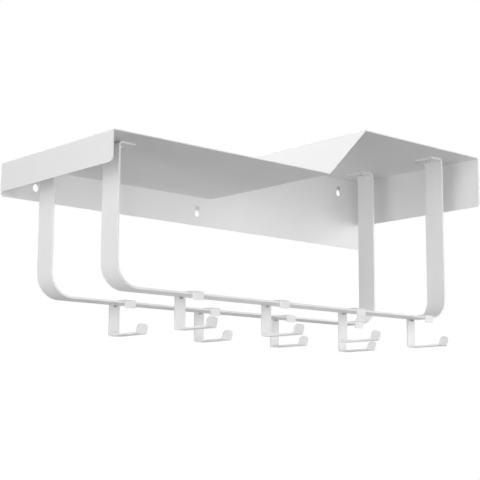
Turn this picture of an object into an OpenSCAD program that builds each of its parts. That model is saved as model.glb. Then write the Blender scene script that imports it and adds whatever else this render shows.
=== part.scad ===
// Wall coat rack: a bent sheet shelf with a step, two flat bar rails under it and hooks that slide on them
// X runs along the wall, Y = 0 is the wall, the front is at -Y
// Z = 0 is the line of the two lower keyholes

/* [Shelf] */
// Length of the shelf along the wall
shelf_w = 825; // [700:1:1000]
// Depth of the shelf from the wall
shelf_d = 300; // [280:1:400]
// Thickness of the shelf sheet
sheet_t = 1.5; // [1:0.1:3]
// Inside radius of the folds in the shelf sheet
fold_r = 0.8; // [0.5:0.1:3]
// Height of the low deck above the bottom edge of the back plate
low_deck_h = 53; // [48:1:80]
// Height of the step from the low deck to the high deck
step_h = 87; // [40:1:110]
// Slope of the ramp between the decks
ramp_angle = 45; // [35:1:60]
// Distance from the left end to the foot of the ramp
ramp_x = 431; // [300:1:500]
// Height of the left end flange, from the top of the low deck
left_flange_h = 46.5; // [20:0.5:47]
// Height of the right end flange, from the top of the high deck
right_flange_h = 91.5; // [20:0.5:95]
// Radius of the lower front corners of the end flanges
flange_corner_r = 8; // [2:0.5:15]

/* [Back plate] */
// Thickness of the back plate
plate_t = 1.5; // [1:0.1:3]
// Radius of the free corners of the back plate
plate_corner_r = 5; // [1:0.5:10]
// Diameter of the round part of a keyhole, which the head of the wall screw passes
keyhole_d = 11; // [9:0.1:13]
// Width of the slot of a keyhole, which holds the neck of the wall screw
keyhole_slot_w = 5; // [4:0.1:6.5]
// Distance from the centre of the round part up to the centre of the slot's end
keyhole_rise = 10.5; // [10:0.5:15]
// Depth of the keyhole centres under the top of their deck
keyhole_drop = 32; // [30:0.5:36]
// Distance of the outer keyholes from the ends of the shelf
keyhole_inset = 62.5; // [55:0.5:90]
// Distance of the middle keyhole from the foot of the ramp
keyhole_ramp_gap = 33; // [20:0.5:60]

/* [Rails] */
// Width of the flat bar
bar_w = 40; // [30:0.5:50]
// Thickness of the flat bar
bar_t = 3; // [2.5:0.1:5]
// Distance from the left end of the shelf to the left legs
rail_left_gap = 44.5; // [30:0.5:70]
// Distance from the right end of the shelf to the right legs
rail_right_gap = 46.5; // [30:0.5:70]
// Distance from the wall to the rear rail
rear_rail_gap = 42.5; // [20:0.5:50]
// Distance from the front edge of the shelf to the front rail
front_rail_gap = 47; // [20:0.5:60]
// Depth of the underside of the rails below the bottom edge of the back plate
rail_drop = 161; // [120:0.5:220]
// Outside radius of the lower bends of the rails
rail_bend_r = 39; // [20:0.5:60]
// Inside radius of the folds where the legs turn into feet
foot_fold_r = 3; // [0.5:0.1:4]
// Length of the feet under the decks
foot_l = 30; // [26:0.5:45]
// Distance from the outside of a leg to the hole in its foot
foot_hole_x = 16.5; // [15:0.5:20]

/* [Rail fasteners] */
// Diameter of the welded studs
stud_d = 4; // [3:0.5:4.5]
// How far a stud stands out of its nut
stud_out = 0.5; // [0.4:0.1:4]
// Width of the nuts across their flats
nut_af = 7; // [6.5:0.5:10]
// Height of the nuts
nut_h = 2.2; // [1.8:0.1:5]
// Play between a stud and the hole in the foot, on the diameter
foot_hole_play = 0.5; // [0.2:0.1:1]
// Play between a stud and its nut, on the diameter
thread_play = 0.1; // [0.05:0.01:0.2]

/* [Hooks] */
// Width of the hooks
hook_w = 20; // [14:0.5:30]
// Thickness of the hook strip
hook_t = 2.5; // [1.5:0.1:4]
// Inside radius of the bends in a hook
hook_bend_r = 0.6; // [0.3:0.1:0.8]
// Distance from the start of the straight bar to the first hook
hook_start_gap = 100; // [0:1:150]
// Distance from the last hook to the end of the straight bar
hook_end_gap = 0; // [0:1:60]
// Gap between a hook and the bar that it slides on
hook_play = 0.3; // [0.25:0.05:0.6]
// How far the front tab of a hook reaches below the bar
tab_drop = 7.5; // [4:0.5:20]
// Radius of the lower corners of the tab
tab_corner_r = 1.5; // [0.5:0.1:5]
// Depth of the underside of the hook arm below the bar
hook_drop = 50.5; // [35:0.5:80]
// Distance from the rear edge of the bar to the outside of the hook tip, at the underside of the arm
hook_reach = 72; // [50:0.5:90]
// Length of the upturned tip
tip_l = 14.5; // [10:0.5:25]
// Lean of the tip away from upright
tip_lean = 20; // [0:1:40]
// Radius of the upper corners of the tip
tip_corner_r = 6; // [1:0.5:6.5]

/* [Keepers] */
// Diameter of the keeper screw under the bar
keeper_d = 3; // [2.5:0.5:4]
// How far the keeper reaches under the bar
keeper_l = 7.5; // [4:0.5:15]
// Diameter of the keeper's head
keeper_head_d = 6; // [5:0.5:8]
// Height of the keeper's head
keeper_head_h = 2; // [1.5:0.1:4]
// Width of the edge bevels on the screws, the studs and the nuts
point_bevel = 0.4; // [0.2:0.1:0.6]
// Width across the flats of the socket in the keeper's head
keeper_socket_af = 2; // [1.5:0.5:2.5]
// Depth of that socket
keeper_socket_depth = 1.2; // [0.8:0.1:1.4]

/* [Wall screws] */
// Diameter of the neck of a wall screw, which hangs in the slot of a keyhole
wall_screw_d = 4; // [3:0.5:4]
// Diameter of its head
wall_screw_head_d = 8; // [7:0.5:9]
// Height of its head
wall_screw_head_h = 2; // [1.5:0.1:3]
// Width across the flats of the socket in its head
wall_socket_af = 3; // [2:0.5:4]
// Depth of that socket
wall_socket_depth = 1.4; // [0.8:0.1:1.4]

/* [Hidden] */
$fn = 64;
// One overrun for all cuts
over = 1;
// Steps along the arc of a small fold
fold_steps = 6;
// Half of the angle at the top of a keyhole's round part where the wall is open
keyhole_open = 44;
// Where the taper of a keyhole ends, as a share of the rise of its slot
keyhole_taper_share = 0.58;
// How far the sides of the taper run into the round part, as a share of their length outside it
keyhole_inside_share = 0.4;
// Hooks on each rail
hook_count = 4;
white = "whitesmoke";
steel = "silver";

// Levels
plate_bottom = keyhole_drop - low_deck_h;
low_top = plate_bottom + low_deck_h;
high_top = low_top + step_h;
low_under = low_top - sheet_t;
high_under = high_top - sheet_t;
rail_under = plate_bottom - rail_drop;
rail_top = rail_under + bar_t;

// Places along the wall
left_end = -shelf_w / 2;
right_end = shelf_w / 2;
ramp_foot = left_end + ramp_x;
ramp_head = ramp_foot + step_h / tan(ramp_angle);
rail_left = left_end + rail_left_gap;
rail_right = right_end - rail_right_gap;
keyhole_left = left_end + keyhole_inset;
keyhole_middle = ramp_foot - keyhole_ramp_gap;
keyhole_right = right_end - keyhole_inset;
hook_1_x = rail_left + rail_bend_r + hook_start_gap + hook_w / 2;
hook_4_x = rail_right - rail_bend_r - hook_end_gap - hook_w / 2;
hook_pitch = (hook_4_x - hook_1_x) / (hook_count - 1);

// Places from the wall, each at the rear edge of its rail
rear_rail_y = -rear_rail_gap;
front_rail_y = -shelf_d + front_rail_gap + bar_w;

// Sizes that follow from others
foot_bend_r = foot_fold_r + bar_t;
stud_l = bar_t + nut_h + stud_out;
nut_corner_d = nut_af / cos(30);
arm_top = rail_under - hook_drop + hook_t;
keeper_z = rail_under - hook_play - keeper_d / 2;

// Unit vector along v, and v turned a quarter to the left
function unit(v) = v / norm(v);
function turned(v) = [-v[1], v[0]];

// Points of the arc of radius r that rounds the corner p between the points a and b
function fold_arc(a, p, b, r) =
    let (
        u = unit(a - p),
        w = unit(b - p),
        half = acos(u * w) / 2,
        c = p + unit(u + w) * r / sin(half),
        s = p + u * r / tan(half) - c,
        e = p + w * r / tan(half) - c,
        from = atan2(s[1], s[0]),
        sweep = (atan2(e[1], e[0]) - from + 540) % 360 - 180
    )
    [for (i = [0:fold_steps]) let (turn = from + sweep * i / fold_steps) c + r * [cos(turn), sin(turn)]];

// True where the path turns left at its point i
function turns_left(path, i) = turned(path[i] - path[i - 1]) * (path[i + 1] - path[i]) > 0;

// The path moved by t to its left, with its corners mitred
function moved_left(path, t) =
    let (last = len(path) - 1)
    [for (i = [0:last])
        let (
            before = turned(unit(path[max(i, 1)] - path[max(i, 1) - 1])),
            after = turned(unit(path[min(i, last - 1) + 1] - path[min(i, last - 1)]))
        )
        path[i] + t * (before + after) / (1 + before * after)];

// One side of a bent strip: rounded by r_left where the path turns left and by r_right elsewhere
function strip_side(path, r_left, r_right) =
    let (last = len(path) - 1)
    [for (i = [0:last])
        each (i == 0 || i == last)
            ? [path[i]]
            : fold_arc(path[i - 1], path[i], path[i + 1], turns_left(path, i) ? r_left : r_right)];

// The same points from last to first
function reversed(points) = [for (i = [len(points) - 1:-1:0]) points[i]];

// Section of a strip of thickness t to the left of the path, bent with the inside radius r
module bent_strip(path, t, r) {
    right_side = strip_side(path, r + t, r);
    left_side = strip_side(moved_left(path, t), r, r + t);
    polygon(concat(right_side, reversed(left_side)));
}

// What rounding takes off an outside corner at the origin, where the material lies towards x_dir and y_dir
module corner_waste(r, x_dir, y_dir) {
    difference() {
        polygon([
            [-x_dir * over, -y_dir * over],
            [x_dir * r, -y_dir * over],
            [x_dir * r, y_dir * r],
            [-x_dir * over, y_dir * r]
        ]);
        translate([x_dir * r, y_dir * r]) circle(r);
    }
}

// Stands a section drawn in X and Z up, from y_rear forwards by depth
module along_wall(y_rear, depth) {
    translate([0, y_rear, 0]) rotate([90, 0, 0]) linear_extrude(depth) children();
}

// Stands a section drawn in Y and Z up, centred at x
module across_wall(x, width) {
    translate([x - width / 2, 0, 0]) rotate([90, 0, 90]) linear_extrude(width) children();
}

// Section of the shelf: the low deck, the ramp and the high deck between the end flanges
module shelf_section() {
    top_path = [
        [right_end, high_top - right_flange_h],
        [right_end, high_top],
        [ramp_head, high_top],
        [ramp_foot, low_top],
        [left_end, low_top],
        [left_end, low_top - left_flange_h]
    ];
    bent_strip(top_path, sheet_t, fold_r);
}

// Rounded corner of an end flange at y and z, cut square through the flange
module flange_corner(x, y, z, r, y_dir, z_dir) {
    across_wall(x, 2 * (sheet_t + over)) translate([y, z]) corner_waste(r, y_dir, z_dir);
}

// Shelf: one sheet, with its end flanges folded down
module shelf_sheet() {
    color(white)
    difference() {
        along_wall(-plate_t, shelf_d - plate_t) shelf_section();
        flange_corner(left_end, -shelf_d, low_top - left_flange_h, flange_corner_r, 1, 1);
        flange_corner(right_end, -shelf_d, high_top - right_flange_h, flange_corner_r, 1, 1);
        flange_corner(left_end, -plate_t, low_top, plate_corner_r, -1, -1);
        flange_corner(right_end, -plate_t, high_top, plate_corner_r, -1, -1);
    }
}

// Outline of a keyhole around the centre of its round part
module keyhole() {
    taper_top = [keyhole_slot_w / 2, keyhole_rise * keyhole_taper_share];
    round_edge = keyhole_d / 2 * [sin(keyhole_open), cos(keyhole_open)];
    taper_foot = round_edge + (round_edge - taper_top) * keyhole_inside_share;
    circle(d = keyhole_d);
    polygon([[-taper_foot[0], taper_foot[1]], taper_foot, taper_top, [-taper_top[0], taper_top[1]]]);
    translate([-keyhole_slot_w / 2, 0]) square([keyhole_slot_w, keyhole_rise]);
    translate([0, keyhole_rise]) circle(d = keyhole_slot_w);
}

// Places its children at the round part of the left, the middle and the right keyhole, on the wall
module at_left_keyhole() {
    translate([keyhole_left, 0, low_top - keyhole_drop]) children();
}

module at_middle_keyhole() {
    translate([keyhole_middle, 0, low_top - keyhole_drop]) children();
}

module at_right_keyhole() {
    translate([keyhole_right, 0, high_top - keyhole_drop]) children();
}

// A keyhole, cut through the back plate
module keyhole_cut() {
    along_wall(over, plate_t + 2 * over) keyhole();
}

// Left back plate: it closes the low deck behind and has the left and the middle keyhole
module left_back_plate() {
    color(white)
    difference() {
        along_wall(0, plate_t)
        difference() {
            polygon([
                [left_end, plate_bottom],
                [ramp_foot, plate_bottom],
                [ramp_foot, low_top],
                [left_end, low_top]
            ]);
            translate([left_end, plate_bottom]) corner_waste(plate_corner_r, 1, 1);
            translate([left_end, low_top]) corner_waste(plate_corner_r, 1, -1);
        }
        at_left_keyhole() keyhole_cut();
        at_middle_keyhole() keyhole_cut();
    }
}

// Right back plate: its top edge follows the ramp and the high deck, and it has the right keyhole
module right_back_plate() {
    color(white)
    difference() {
        along_wall(0, plate_t)
        difference() {
            polygon([
                [ramp_foot, plate_bottom],
                [right_end, plate_bottom],
                [right_end, high_top],
                [ramp_head, high_top],
                [ramp_foot, low_top]
            ]);
            translate([right_end, plate_bottom]) corner_waste(plate_corner_r, -1, 1);
            translate([right_end, high_top]) corner_waste(plate_corner_r, -1, -1);
        }
        at_right_keyhole() keyhole_cut();
    }
}

// Screw that points along -Z from the underside of its head, with a hexagon socket in the head
module socket_screw(d, l, head_d, head_h, socket_af, socket_depth) {
    color(steel)
    difference() {
        union() {
            translate([0, 0, -l]) cylinder(h = point_bevel, d1 = d - 2 * point_bevel, d2 = d);
            translate([0, 0, point_bevel - l]) cylinder(h = l - point_bevel, d = d);
            cylinder(h = head_h - point_bevel, d = head_d);
            translate([0, 0, head_h - point_bevel])
                cylinder(h = point_bevel, d1 = head_d, d2 = head_d - 2 * point_bevel);
        }
        translate([0, 0, head_h - socket_depth])
            cylinder(h = socket_depth + over, d = socket_af / cos(30), $fn = 6);
    }
}

// Wall screw in the slot of a keyhole: its head bears on the back plate and it ends at the wall's face
module wall_screw() {
    translate([0, -plate_t, keyhole_rise])
        rotate([90, 0, 0])
        socket_screw(
            wall_screw_d,
            plate_t,
            wall_screw_head_d,
            wall_screw_head_h,
            wall_socket_af,
            wall_socket_depth
        );
}

// Section of a quarter bend of the bar around the corner x, z, with the bar towards x_dir and z_dir
module bar_bend(x, z, r, x_dir, z_dir) {
    translate([x + x_dir * r, z + z_dir * r])
    intersection() {
        difference() {
            circle(r);
            circle(r - bar_t);
        }
        polygon([[0, 0], [-x_dir * (r + over), 0], -(r + over) * [x_dir, z_dir], [0, -z_dir * (r + over)]]);
    }
}

// Section of a stretch of bar from corner to corner
module bar_run(x_low, z_low, x_high, z_high) {
    translate([x_low, z_low]) square([x_high - x_low, z_high - z_low]);
}

// Section of a rail: a foot under each deck, two legs and the straight bar that carries the hooks
module rail_section() {
    leg_foot = rail_under + rail_bend_r;
    bar_run(rail_left + foot_bend_r, low_under - bar_t, rail_left + foot_l, low_under);
    bar_bend(rail_left, low_under, foot_bend_r, 1, -1);
    bar_run(rail_left, leg_foot, rail_left + bar_t, low_under - foot_bend_r);
    bar_bend(rail_left, rail_under, rail_bend_r, 1, 1);
    bar_run(rail_left + rail_bend_r, rail_under, rail_right - rail_bend_r, rail_top);
    bar_bend(rail_right, rail_under, rail_bend_r, -1, 1);
    bar_run(rail_right - bar_t, leg_foot, rail_right, high_under - foot_bend_r);
    bar_bend(rail_right, high_under, foot_bend_r, -1, -1);
    bar_run(rail_right - foot_l, high_under - bar_t, rail_right - foot_bend_r, high_under);
}

// Places its children at the left foot's hole of the rail at y_rear, on the underside of the low deck
module at_left_foot(y_rear) {
    translate([rail_left + foot_hole_x, y_rear - bar_w / 2, low_under]) children();
}

// Places its children at the right foot's hole, on the underside of the high deck
module at_right_foot(y_rear) {
    translate([rail_right - foot_hole_x, y_rear - bar_w / 2, high_under]) children();
}

// Hole for a stud through a foot
module foot_hole() {
    translate([0, 0, -bar_t - over]) cylinder(h = bar_t + 2 * over, d = stud_d + foot_hole_play);
}

// Rail: one flat bar bent to a wide U
module rail(y_rear) {
    color(white)
    difference() {
        along_wall(y_rear, bar_w) rail_section();
        at_left_foot(y_rear) foot_hole();
        at_right_foot(y_rear) foot_hole();
    }
}

// Stud welded to the underside of a deck
module stud() {
    color(steel)
    translate([0, 0, -stud_l]) {
        cylinder(h = point_bevel, d1 = stud_d - 2 * point_bevel, d2 = stud_d);
        translate([0, 0, point_bevel]) cylinder(h = stud_l - point_bevel, d = stud_d);
    }
}

// Hexagon nut that clamps a foot to its deck
module nut() {
    color(steel)
    translate([0, 0, -bar_t - nut_h])
    difference() {
        intersection() {
            cylinder(h = nut_h, d = nut_corner_d, $fn = 6);
            union() {
                cylinder(h = point_bevel, d1 = nut_af, d2 = nut_corner_d);
                translate([0, 0, point_bevel]) cylinder(h = nut_h - point_bevel, d = nut_corner_d + over);
            }
        }
        translate([0, 0, -over]) cylinder(h = nut_h + 2 * over, d = stud_d + thread_play);
    }
}

// Path along the inside of a hook: the tab, over the bar, down behind it, along the arm and up the tip
function hook_path(y_rear) =
    let (
        tip_foot = [y_rear - hook_reach - hook_t * tan(tip_lean) + hook_t / cos(tip_lean), arm_top],
        tab_y = y_rear - bar_w - hook_play,
        back_y = y_rear + hook_play
    )
    [
        [tab_y, rail_under - tab_drop],
        [tab_y, rail_top + hook_play],
        [back_y, rail_top + hook_play],
        [back_y, arm_top],
        tip_foot,
        tip_foot + tip_l * [-sin(tip_lean), cos(tip_lean)]
    ];

// What rounding takes off the two corners of a strip end, where the strip lies towards z_dir
module end_corners(r, z_dir) {
    translate([0, over, 0])
    rotate([90, 0, 0])
    linear_extrude(hook_t + 2 * over)
    for (side = [-1, 1]) translate([side * hook_w / 2, 0]) corner_waste(r, -side, z_dir);
}

// Place of the middle of hook number i
function hook_x(i) = hook_1_x + (i - 1) * hook_pitch;

// Hook number i of the rail at y_rear, one bent strip
module hook(i, y_rear) {
    path = hook_path(y_rear);
    tab_end = path[0];
    tip_end = path[5];
    color(white)
    difference() {
        across_wall(hook_x(i), hook_w) bent_strip(path, hook_t, hook_bend_r);
        translate([hook_x(i), tab_end[0], tab_end[1]]) end_corners(tab_corner_r, 1);
        translate([hook_x(i), tip_end[0], tip_end[1]])
            rotate([tip_lean, 0, 0]) end_corners(tip_corner_r, -1);
        translate([hook_x(i), y_rear + hook_play - over, keeper_z])
            rotate([-90, 0, 0]) cylinder(h = hook_t + 2 * over, d = keeper_d + thread_play);
    }
}

// Keeper of hook number i: a screw through the hook that reaches under the bar, so the hook can't lift off
module keeper(i, y_rear) {
    translate([hook_x(i), y_rear + hook_play + hook_t, keeper_z])
        rotate([-90, 0, 0])
        socket_screw(
            keeper_d,
            keeper_l + hook_t,
            keeper_head_d,
            keeper_head_h,
            keeper_socket_af,
            keeper_socket_depth
        );
}

shelf_sheet();
left_back_plate();
right_back_plate();
at_left_keyhole() wall_screw();  // left_wall_screw
at_middle_keyhole() wall_screw();  // middle_wall_screw
at_right_keyhole() wall_screw();  // right_wall_screw
rail(front_rail_y);  // front_rail
rail(rear_rail_y);  // rear_rail
at_left_foot(front_rail_y) stud();  // front_left_stud
at_right_foot(front_rail_y) stud();  // front_right_stud
at_left_foot(rear_rail_y) stud();  // rear_left_stud
at_right_foot(rear_rail_y) stud();  // rear_right_stud
at_left_foot(front_rail_y) nut();  // front_left_nut
at_right_foot(front_rail_y) nut();  // front_right_nut
at_left_foot(rear_rail_y) nut();  // rear_left_nut
at_right_foot(rear_rail_y) nut();  // rear_right_nut
hook(1, front_rail_y);  // front_hook_1
hook(2, front_rail_y);  // front_hook_2
hook(3, front_rail_y);  // front_hook_3
hook(4, front_rail_y);  // front_hook_4
hook(1, rear_rail_y);  // rear_hook_1
hook(2, rear_rail_y);  // rear_hook_2
hook(3, rear_rail_y);  // rear_hook_3
hook(4, rear_rail_y);  // rear_hook_4
keeper(1, front_rail_y);  // front_keeper_1
keeper(2, front_rail_y);  // front_keeper_2
keeper(3, front_rail_y);  // front_keeper_3
keeper(4, front_rail_y);  // front_keeper_4
keeper(1, rear_rail_y);  // rear_keeper_1
keeper(2, rear_rail_y);  // rear_keeper_2
keeper(3, rear_rail_y);  // rear_keeper_3
keeper(4, rear_rail_y);  // rear_keeper_4
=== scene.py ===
"""Looks of the wall coat rack: a stepped sheet shelf over two flat-bar rails with sliding hooks.

Everything is in metres in the row frame: X along the wall, Y = 0 the wall, the front at -Y, Z up.
"""

import math

import bpy
from mathutils import Matrix, Vector

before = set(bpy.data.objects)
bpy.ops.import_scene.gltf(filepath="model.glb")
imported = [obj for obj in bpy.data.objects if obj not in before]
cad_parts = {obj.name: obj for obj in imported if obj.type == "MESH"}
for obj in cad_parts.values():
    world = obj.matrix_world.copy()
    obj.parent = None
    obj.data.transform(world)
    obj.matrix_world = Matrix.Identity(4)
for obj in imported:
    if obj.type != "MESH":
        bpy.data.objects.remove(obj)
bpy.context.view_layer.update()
MM = 0.001
WHITE = (1, 1, 1, 1)

# The camera of the photograph: its place, the heading from +Y towards +X, the tilt up and the roll
EYE = Vector((-1.348861, -1.623328, -0.381533))
HEADING, TILT, ROLL = (math.radians(a) for a in (41.54441, 9.06282, 0.28237))
# Its lens and the width of its sensor in millimetres, and what it sees, in metres from it
LENS, SENSOR_WIDTH = 89.457, 36
CLIP_START, CLIP_END = 0.02, 100

# Each pattern in a material is a noise with a scale, a detail and a roughness of its own.
# Powder coat: a drift between two tones, the orange peel and the matt specks
COAT_TONES = (0.845, 0.845, 0.845), (0.87, 0.87, 0.872)
COAT_DRIFT, COAT_PEEL, COAT_SPECK = (5, 3.0, 0.55), (620, 2.0, 0.45), (2600, 3.0, 0.6)
COAT_ROUGHNESS = 0.40, 0.50
PEEL_HEIGHT, PEEL_STRENGTH = 0.06 * MM, 0.35
SPECK_HEIGHT, SPECK_STRENGTH = 0.01 * MM, 0.3
# Zinc and steel: patches in the tone, and a grain
METAL_PATCH, METAL_GRAIN = (300, 3.0, 0.6), (3500, 2.0, 0.5)
METAL_ROUGHNESS = 0.26, 0.42
GRAIN_HEIGHT, GRAIN_STRENGTH = 0.01 * MM, 0.4
# The values of a noise that stand for the ends of a range of tones or of roughness
NOISE_LOW, NOISE_HIGH = 0.3, 0.7

# How wide the rounded edges are, in how many steps, and from what angle an edge is rounded
PLATE_EDGE, METAL_EDGE, OTHER_EDGE = 0.05 * MM, 0.1 * MM, 0.15 * MM
EDGE_SEGMENTS, EDGE_ANGLE = 2, math.radians(34)
# What is joined to one point or to one flat face before that, and how much large faces weigh in the shading
WELD_DISTANCE, FLAT_ANGLE = 0.002 * MM, math.radians(0.6)
NORMAL_WEIGHT = 80

# The floor: half its side and its height, its two tones and the scale of their drift, and its own glow
FLOOR_HALF, FLOOR_Z = 5.0, -1.6
FLOOR_TONES, FLOOR_DRIFT = ((0.50, 0.50, 0.50), (0.53, 0.53, 0.53)), 1.5
FLOOR_ROUGHNESS, FLOOR_GLOW = 0.7, 0.58

# Soft square lamps around LAMP_AIM: name, heading from the front (right is positive), height and watts
FAR_LAMPS = [
    ("wall_top", 180, 55, 44), ("left_front", -60, 18, 34), ("left_low", -90, -12, 35),
    ("front_left_low", -30, -12, 21), ("front_right_low", 30, -12, 19),
]
FAR_DISTANCE, FAR_SIDE = 3.0, 2.0
NEAR_LAMPS = [("right", 75, 5, 7.8), ("front", 15, 10, 4.5)]
NEAR_DISTANCE, NEAR_SIDE = 1.5, 0.8
LAMP_AIM = Vector((0, -0.15, -0.06))
# A low lamp along the rack that lights the undersides
UNDER_PLACE, UNDER_POWER = Vector((0, -0.225, -0.45)), 0.65
UNDER_LENGTH, UNDER_WIDTH = 0.9, 0.3
WORLD_LEVEL = 0.02


def make_camera():
    forward = Vector((math.sin(HEADING) * math.cos(TILT), math.cos(HEADING) * math.cos(TILT), math.sin(TILT)))
    level = Vector((math.cos(HEADING), -math.sin(HEADING), 0))
    upright = level.cross(forward)
    right = math.cos(ROLL) * level + math.sin(ROLL) * upright
    up = math.cos(ROLL) * upright - math.sin(ROLL) * level
    data = bpy.data.cameras.new("camera")
    data.lens, data.sensor_width = LENS, SENSOR_WIDTH
    data.clip_start, data.clip_end = CLIP_START, CLIP_END
    camera = bpy.data.objects.new("camera", data)
    bpy.context.scene.collection.objects.link(camera)
    camera.matrix_world = Matrix.Translation(EYE) @ Matrix((right, up, -forward)).transposed().to_4x4()
    bpy.context.scene.camera = camera


class Nodes:
    """A small builder for a material's or a world's node tree."""

    def __init__(self, owner):
        owner.use_nodes = True
        self.tree = owner.node_tree
        self.tree.nodes.clear()

    def add(self, kind, **settings):
        """A node with its attributes set; sockets are set by their names with underscores for spaces."""
        node = self.tree.nodes.new(kind)
        for key, value in settings.items():
            socket = node.inputs.get(key.replace("_", " "))
            if socket is None:
                setattr(node, key, value)
            else:
                socket.default_value = value
        return node

    def link(self, source, target):
        self.tree.links.new(source, target)

    def place(self, *offset):
        """The object's own coordinates, moved by offset so that no two materials share a pattern."""
        node = self.add("ShaderNodeMapping", Location=offset)
        self.link(self.add("ShaderNodeTexCoord").outputs["Object"], node.inputs["Vector"])
        return node.outputs["Vector"]

    def noise(self, vector, scale, detail=2.0, roughness=0.5):
        node = self.add("ShaderNodeTexNoise", Scale=scale, Detail=detail, Roughness=roughness)
        self.link(vector, node.inputs["Vector"])
        return node.outputs["Fac"]

    def spread(self, value, low, high):
        """A noise turned into a number from low to high."""
        node = self.add(
            "ShaderNodeMapRange", From_Min=NOISE_LOW, From_Max=NOISE_HIGH, To_Min=low, To_Max=high)
        self.link(value, node.inputs["Value"])
        return node.outputs["Result"]

    def tint(self, factor, dark, light):
        node = self.add("ShaderNodeMix", data_type="RGBA")
        self.link(factor, node.inputs["Factor"])
        node.inputs["A"].default_value = (*dark, 1)
        node.inputs["B"].default_value = (*light, 1)
        return node.outputs["Result"]

    def bump(self, height, distance, strength, normal=None):
        node = self.add("ShaderNodeBump", Distance=distance, Strength=strength)
        self.link(height, node.inputs["Height"])
        if normal is not None:
            self.link(normal, node.inputs["Normal"])
        return node.outputs["Normal"]

    def calculate(self, operation, first, second):
        """first is a socket, and second a socket or a number."""
        node = self.add("ShaderNodeMath", operation=operation)
        self.link(first, node.inputs[0])
        if isinstance(second, bpy.types.NodeSocket):
            self.link(second, node.inputs[1])
        else:
            node.inputs[1].default_value = second
        return node.outputs[0]

    def seen(self):
        """1 where the camera, a reflection or a clear piece looks, and 0 for the light on the object."""
        rays = self.add("ShaderNodeLightPath").outputs
        seen = self.calculate("MAXIMUM", rays["Is Camera Ray"], rays["Is Glossy Ray"])
        return self.calculate("MAXIMUM", seen, rays["Is Transmission Ray"])

    def end(self, shader, kind="ShaderNodeOutputMaterial"):
        self.link(shader.outputs[0], self.add(kind).inputs["Surface"])


def powder_coat(name, seed):
    """White powder coat: a fine orange peel, tiny matt specks and a slow drift in tone."""
    material = bpy.data.materials.new(name)
    n = Nodes(material)
    at = n.place(seed, seed * 0.7, seed * 0.3)
    peel, speck, drift = (n.noise(at, *pattern) for pattern in (COAT_PEEL, COAT_SPECK, COAT_DRIFT))
    shader = n.add("ShaderNodeBsdfPrincipled")
    n.link(n.tint(n.spread(drift, 0, 1), *COAT_TONES), shader.inputs["Base Color"])
    n.link(n.spread(speck, *COAT_ROUGHNESS), shader.inputs["Roughness"])
    waves = n.bump(peel, PEEL_HEIGHT, PEEL_STRENGTH)
    n.link(n.bump(speck, SPECK_HEIGHT, SPECK_STRENGTH, waves), shader.inputs["Normal"])
    n.end(shader)
    return material


def metal(name, dark, light, seed, metallic=1.0, matt=0.0):
    """Zinc or steel, with fine turning marks and a patchy tone; matt adds to its roughness."""
    material = bpy.data.materials.new(name)
    n = Nodes(material)
    at = n.place(seed, seed, seed)
    patch, grain = (n.noise(at, *pattern) for pattern in (METAL_PATCH, METAL_GRAIN))
    shader = n.add("ShaderNodeBsdfPrincipled", Metallic=metallic)
    n.link(n.tint(n.spread(patch, 0, 1), dark, light), shader.inputs["Base Color"])
    smooth, rough = METAL_ROUGHNESS
    n.link(n.spread(grain, smooth + matt, rough + matt), shader.inputs["Roughness"])
    n.link(n.bump(grain, GRAIN_HEIGHT, GRAIN_STRENGTH), shader.inputs["Normal"])
    n.end(shader)
    return material


def soften(obj, width):
    """Rounds the sharp edges a little and shades the bends smooth.

    It does so by modifiers alone: the mesh stays as packed.
    """
    weld = obj.modifiers.new("weld", "WELD")
    weld.merge_threshold = WELD_DISTANCE
    flat = obj.modifiers.new("flat", "DECIMATE")
    flat.decimate_type = "DISSOLVE"
    flat.angle_limit = FLAT_ANGLE
    bevel = obj.modifiers.new("bevel", "BEVEL")
    bevel.width = width
    bevel.segments = EDGE_SEGMENTS
    bevel.limit_method = "ANGLE"
    bevel.angle_limit = EDGE_ANGLE
    bevel.use_clamp_overlap = True
    shade = obj.modifiers.new("shade", "WEIGHTED_NORMAL")
    shade.keep_sharp = False
    shade.weight = NORMAL_WEIGHT


def dress_nodes():
    """Gives each CAD node its material and its rounded edges."""
    shelf_coat = powder_coat("shelf_powder_coat", 0.0)
    rail_coat = powder_coat("rail_powder_coat", 3.1)
    hook_coat = powder_coat("hook_powder_coat", 7.7)
    bright_zinc = metal("bright_zinc", (0.50, 0.51, 0.52), (0.66, 0.67, 0.69), 1.3)
    screw_zinc = metal("screw_zinc", (0.60, 0.60, 0.61), (0.70, 0.70, 0.71), 4.9, metallic=0.25, matt=0.25)
    stud_steel = metal("stud_steel", (0.84, 0.84, 0.85), (0.92, 0.92, 0.93), 6.2)
    # What a node's name holds, its material and the width of its rounded edges
    finishes = (
        ("shelf_sheet", shelf_coat, OTHER_EDGE),
        ("_plate", shelf_coat, PLATE_EDGE),
        ("_rail", rail_coat, OTHER_EDGE),
        ("_hook_", hook_coat, OTHER_EDGE),
        ("_wall_screw", screw_zinc, METAL_EDGE),
        ("_stud", stud_steel, METAL_EDGE),
        ("_nut", bright_zinc, METAL_EDGE),
        ("_keeper_", bright_zinc, METAL_EDGE),
    )
    for name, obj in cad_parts.items():
        material, width = next((coat, edge) for part, coat, edge in finishes if part in name)
        for slot in obj.material_slots:
            slot.material = material
        soften(obj, width)


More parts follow.
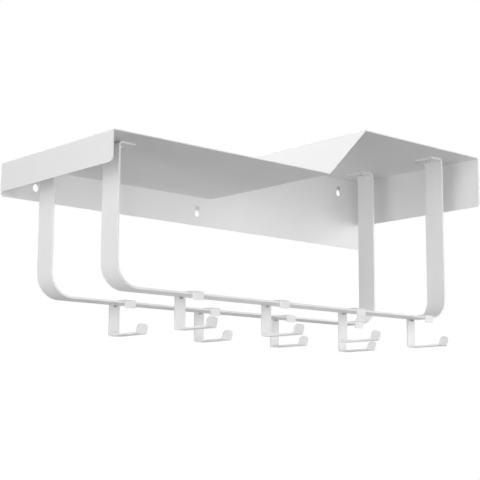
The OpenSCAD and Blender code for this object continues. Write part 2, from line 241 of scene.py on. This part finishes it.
def make_floor():
    """A pale floor, as far under the rack as a real one."""
    mesh = bpy.data.meshes.new("floor")
    corners = [(FLOOR_HALF * x, FLOOR_HALF * y, FLOOR_Z) for x, y in ((-1, -1), (1, -1), (1, 1), (-1, 1))]
    mesh.from_pydata(corners, [], [(0, 1, 2, 3)])
    floor = bpy.data.objects.new("floor", mesh)
    bpy.context.scene.collection.objects.link(floor)
    material = bpy.data.materials.new("floor_paint")
    n = Nodes(material)
    at = n.add("ShaderNodeTexCoord").outputs["Object"]
    shader = n.add("ShaderNodeBsdfPrincipled", Roughness=FLOOR_ROUGHNESS, Emission_Color=WHITE)
    n.link(n.tint(n.noise(at, FLOOR_DRIFT), *FLOOR_TONES), shader.inputs["Base Color"])
    n.link(n.calculate("MULTIPLY", n.seen(), FLOOR_GLOW), shader.inputs["Emission Strength"])
    n.end(shader)
    mesh.materials.append(material)
    floor.visible_diffuse = False


def make_lamp(name, place, away, power, length, width):
    """A rectangle lamp at place that shines the opposite way of away."""
    data = bpy.data.lights.new("lamp_" + name, "AREA")
    data.shape = "RECTANGLE"
    data.size, data.size_y = length, width
    data.energy = power
    lamp = bpy.data.objects.new("lamp_" + name, data)
    bpy.context.scene.collection.objects.link(lamp)
    lamp.location = place
    lamp.rotation_mode = "QUATERNION"
    lamp.rotation_quaternion = away.to_track_quat("Z", "Y")
    lamp.visible_camera = False
    return lamp


def make_lamps():
    rings = (FAR_LAMPS, FAR_DISTANCE, FAR_SIDE), (NEAR_LAMPS, NEAR_DISTANCE, NEAR_SIDE)
    for lamps, distance, side in rings:
        for name, heading, height, power in lamps:
            round_by, up_by = math.radians(heading), math.radians(height)
            flat_way = math.cos(up_by)
            away = Vector((math.sin(round_by) * flat_way, -math.cos(round_by) * flat_way, math.sin(up_by)))
            make_lamp(name, LAMP_AIM + away * distance, away, power, side, side)
    under = make_lamp("under", UNDER_PLACE, Vector((0, 0, -1)), UNDER_POWER, UNDER_LENGTH, UNDER_WIDTH)
    under.visible_glossy = False


def make_world():
    """White where it is seen, and a plain faint level of light elsewhere."""
    world = bpy.data.worlds.new("studio")
    bpy.context.scene.world = world
    n = Nodes(world)
    mix = n.add("ShaderNodeMixShader")
    n.link(n.seen(), mix.inputs[0])
    for socket, strength in ((mix.inputs[1], WORLD_LEVEL), (mix.inputs[2], 1.0)):
        n.link(n.add("ShaderNodeBackground", Color=WHITE, Strength=strength).outputs[0], socket)
    n.end(mix, "ShaderNodeOutputWorld")


make_camera()
dress_nodes()
make_floor()
make_lamps()
make_world()
bpy.context.scene.view_settings.view_transform = "Standard"
